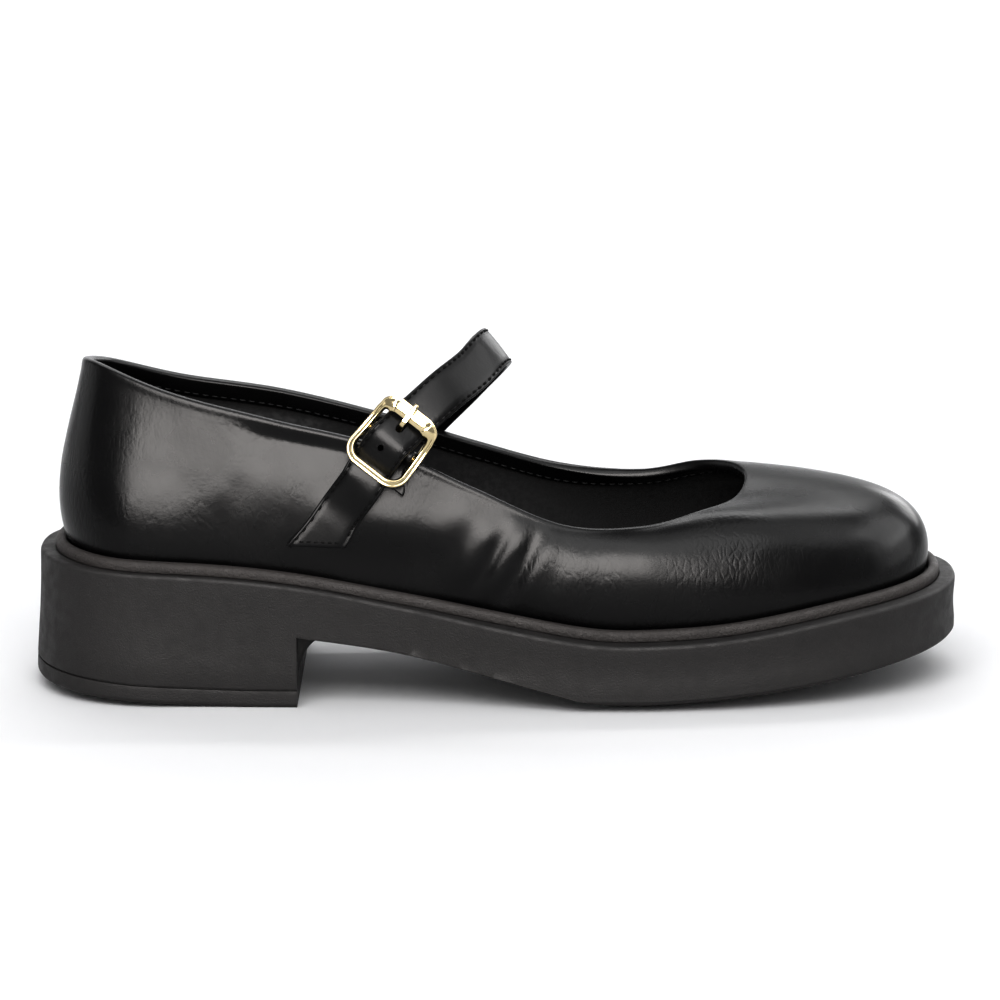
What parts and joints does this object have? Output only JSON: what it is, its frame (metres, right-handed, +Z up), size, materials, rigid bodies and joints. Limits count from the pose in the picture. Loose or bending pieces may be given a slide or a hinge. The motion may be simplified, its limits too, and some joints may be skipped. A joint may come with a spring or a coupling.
{
  "type": "mary jane shoe",
  "caption": "Black smooth mary jane shoe for the right foot with a moulded block-heel sole, round toe, instep strap and pale gold buckle.",
  "frame": {"origin": "middle of the footprint's box, on the floor", "axes": "+X towards the toe, +Y towards the inner side of the foot, +Z up"},
  "size_m": [0.2716, 0.0984, 0.1041],
  "materials": {
    "sole": "matte moulded, fine grain",
    "leather": "smooth semi-gloss synthetic leather with fine creases",
    "lining": "matte fine-grained lining",
    "stiffener": "fibre board",
    "padding": "felted foam",
    "steel": "rolled steel",
    "gold": "polished pale gold plating"
  },
  "bodies": {
    "root": {"outsole": "sole", "heel_top_lift": "sole", "welt_strip": "sole", "forefoot_filler": "padding", "shank": "steel", "shank_rivet_rear": "steel", "shank_rivet_front": "steel", "insole_board": "stiffener", "sock_foam": "padding", "sock_cover": "lining", "upper": "leather", "heel_counter": "stiffener", "toe_puff": "stiffener", "quarter_lining": "lining", "vamp_lining": "lining", "topline_binding": "lining", "buckle_tab": "leather", "strap_face": "leather", "strap_core": "stiffener", "strap_backing": "lining"},
    "buckle": {"buckle_frame": "gold", "buckle_bar": "gold"},
    "prong": {"buckle_prong": "gold"},
    "strap_tip": {"strap_tip_face": "leather", "strap_tip_core": "stiffener", "strap_tip_backing": "lining"}
  },
  "joints": [
    {"name": "buckle_rock", "type": "hinge", "parent": "root", "child": "buckle", "pos_m": [-0.03008, -0.03485, 0.07643], "axis": [-0.7887, 0.2126, 0.5769], "range_deg": [-2, 2]},
    {"name": "prong_lift", "type": "hinge", "parent": "buckle", "child": "prong", "pos_m": [-0.03008, -0.03485, 0.07643], "axis": [0.7887, -0.2126, -0.5769], "range_deg": [0, 8]},
    {"name": "strap_tip_lift", "type": "hinge", "parent": "root", "child": "strap_tip", "pos_m": [-0.03835, -0.03932, 0.06659], "axis": [-0.8728, 0.1725, 0.4567], "range_deg": [0, 45]}
  ]
}
